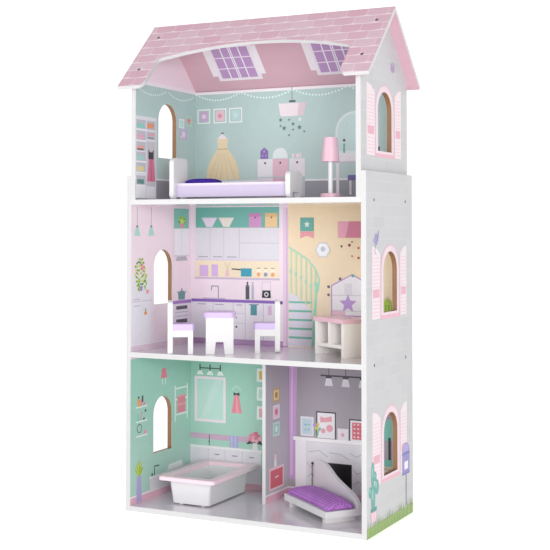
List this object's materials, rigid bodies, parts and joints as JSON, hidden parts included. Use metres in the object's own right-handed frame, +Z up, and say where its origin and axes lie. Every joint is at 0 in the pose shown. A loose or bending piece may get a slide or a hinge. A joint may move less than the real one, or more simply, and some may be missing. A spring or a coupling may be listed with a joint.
{
  "type": "dollhouse",
  "caption": "Tall open-fronted dollhouse of printed boards with a pitched roof, arched windows, a partition and loose furniture on three floors.",
  "frame": {"origin": "on the ground, in the middle of the house in width and depth", "axes": "+Z up, +Y to the closed back, +X to the right of someone facing the open front"},
  "size_m": [0.65, 0.3394, 1.1857],
  "materials": {
    "printed_wall": "printed paper on fibreboard, satin, white painted edges",
    "printed_floor": "grey gloss print on fibreboard, white painted edges",
    "printed_roof": "pink shingle print on fibreboard, white painted edges",
    "white_paint": "satin white paint",
    "lilac_paint": "satin lilac paint",
    "pink_paint": "satin pink paint",
    "tub_white": "glossy moulded",
    "tub_pink": "glossy moulded",
    "indigo_cloth": "satin cloth over a soft filling",
    "purple_satin": "satin cloth with small dark dots, over a soft filling",
    "screw_steel": "plated",
    "dowel_wood": "plain beech"
  },
  "bodies": {
    "house": {"back_panel_lower": "printed_wall", "back_panel_middle": "printed_wall", "back_panel_screws": "screw_steel", "back_panel_upper": "printed_wall", "base_floor": "printed_floor", "floor_screws": "screw_steel", "front_roof_panel": "printed_roof", "gable_screws": "screw_steel", "gable_wall_left": "printed_wall", "gable_wall_right": "printed_wall", "lower_side_board_left": "printed_wall", "lower_side_board_right": "printed_wall", "middle_floor": "printed_floor", "middle_side_board_left": "printed_wall", "middle_side_board_right": "printed_wall", "parapet_board_left": "printed_wall", "parapet_board_right": "printed_wall", "partition_screws": "screw_steel", "partition_wall": "printed_wall", "rear_roof_panel": "printed_roof", "roof_screws": "screw_steel", "side_board_dowels": "dowel_wood", "top_floor": "printed_floor"},
    "bed": {"bed_base_board": "white_paint", "bed_footboard": "white_paint", "bed_front_rail": "lilac_paint", "bed_headboard": "white_paint", "bed_rear_rail": "lilac_paint"},
    "pillow": {"bed_pillow": "indigo_cloth"},
    "lamp": {"lamp_base": "pink_paint", "lamp_pole": "white_paint", "lamp_shade": "pink_paint"},
    "table": {"table_front_panel": "white_paint", "table_rear_panel": "white_paint", "table_stretcher": "white_paint", "table_top": "lilac_paint"},
    "left_chair": {"left_chair_back": "white_paint", "left_chair_front_board": "white_paint", "left_chair_left_apron": "white_paint", "left_chair_right_apron": "white_paint", "left_chair_seat": "lilac_paint"},
    "right_chair": {"right_chair_back": "white_paint", "right_chair_front_board": "white_paint", "right_chair_left_apron": "white_paint", "right_chair_right_apron": "white_paint", "right_chair_seat": "lilac_paint"},
    "sideboard": {"sideboard_back": "white_paint", "sideboard_divider": "white_paint", "sideboard_left_side": "white_paint", "sideboard_right_side": "white_paint", "sideboard_shelf": "white_paint", "sideboard_top": "pink_paint"},
    "bathtub": {"bathtub_feet": "tub_white", "bathtub_rim": "tub_pink", "bathtub_shell": "tub_white"},
    "chaise": {"chaise_backrest": "white_paint", "chaise_left_leg": "white_paint", "chaise_platform": "white_paint", "chaise_right_leg": "white_paint"},
    "cushion": {"chaise_cushion": "purple_satin"}
  },
  "joints": [
    {"name": "bed_slide", "type": "slide", "parent": "house", "child": "bed", "axis": [0, -1, 0], "range_m": [0, 0.3]},
    {"name": "pillow_lift", "type": "slide", "parent": "bed", "child": "pillow", "axis": [0, 0, 1], "range_m": [0, 0.08]},
    {"name": "lamp_slide", "type": "slide", "parent": "house", "child": "lamp", "axis": [0, -1, 0], "range_m": [0, 0.15]},
    {"name": "table_slide", "type": "slide", "parent": "house", "child": "table", "axis": [0.4817, -0.8763, 0], "range_m": [0, 0.22]},
    {"name": "left_chair_slide", "type": "slide", "parent": "house", "child": "left_chair", "axis": [0.509, -0.8607, 0], "range_m": [0, 0.16]},
    {"name": "right_chair_slide", "type": "slide", "parent": "house", "child": "right_chair", "axis": [0.4524, -0.8918, 0], "range_m": [0, 0.24]},
    {"name": "sideboard_slide", "type": "slide", "parent": "house", "child": "sideboard", "axis": [0, -1, 0], "range_m": [0, 0.34]},
    {"name": "bathtub_slide", "type": "slide", "parent": "house", "child": "bathtub", "axis": [0, -1, 0], "range_m": [0, 0.32]},
    {"name": "chaise_slide", "type": "slide", "parent": "house", "child": "chaise", "axis": [0, -1, 0], "range_m": [0, 0.32]},
    {"name": "cushion_lift", "type": "slide", "parent": "chaise", "child": "cushion", "axis": [0, 0, 1], "range_m": [0, 0.1]}
  ]
}
